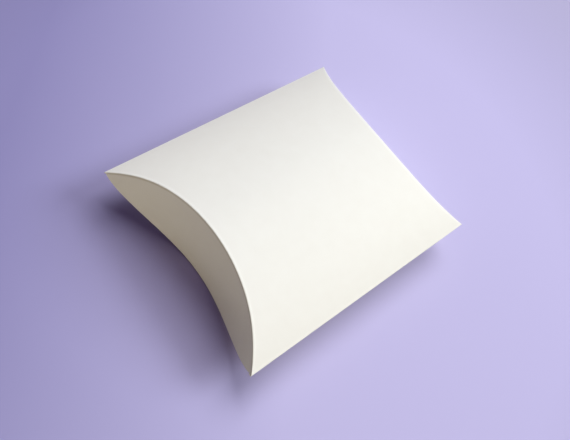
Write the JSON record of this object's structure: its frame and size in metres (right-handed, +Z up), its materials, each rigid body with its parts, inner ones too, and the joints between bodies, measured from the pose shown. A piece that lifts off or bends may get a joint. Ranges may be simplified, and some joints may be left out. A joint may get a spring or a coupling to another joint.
{
  "type": "pillow box",
  "caption": "Empty white card pillow box: two arched panels joined in two long folds, one glued, with concave outer and inner flaps that fold at each end.",
  "frame": {"origin": "under the middle of the box, at the lowest line of its round underside", "axes": "+X across the box from the glued seam to the plain side fold, +Y along the box from the front end to the rear end, +Z up through the panel that the outer flaps hang from"},
  "size_m": [0.1, 0.12, 0.033],
  "materials": {
    "white_card": "smooth matt white card",
    "dried_glue": "thin dried paper glue"
  },
  "bodies": {
    "carton": {"top_panel": "white_card", "bottom_panel": "white_card", "side_fold": "white_card", "seam_fold": "white_card", "glue_tab": "white_card", "glue_strip": "dried_glue"},
    "front_outer_flap": {"front_outer_flap": "white_card"},
    "front_inner_flap": {"front_inner_flap": "white_card"},
    "rear_outer_flap": {"rear_outer_flap": "white_card"},
    "rear_inner_flap": {"rear_inner_flap": "white_card"}
  },
  "joints": [
    {"name": "front_outer_flap_crease", "type": "hinge", "parent": "carton", "child": "front_outer_flap", "pos_m": [0, -0.04415, 0.033], "axis": [-1, 0, 0], "range_deg": [0, 90]},
    {"name": "front_inner_flap_crease", "type": "hinge", "parent": "carton", "child": "front_inner_flap", "pos_m": [0, -0.0461, 0.0005], "axis": [-1, 0, 0], "range_deg": [0, 75]},
    {"name": "rear_outer_flap_crease", "type": "hinge", "parent": "carton", "child": "rear_outer_flap", "pos_m": [0, 0.04415, 0.033], "axis": [1, 0, 0], "range_deg": [0, 90]},
    {"name": "rear_inner_flap_crease", "type": "hinge", "parent": "carton", "child": "rear_inner_flap", "pos_m": [0, 0.0461, 0.0005], "axis": [1, 0, 0], "range_deg": [0, 75]}
  ]
}
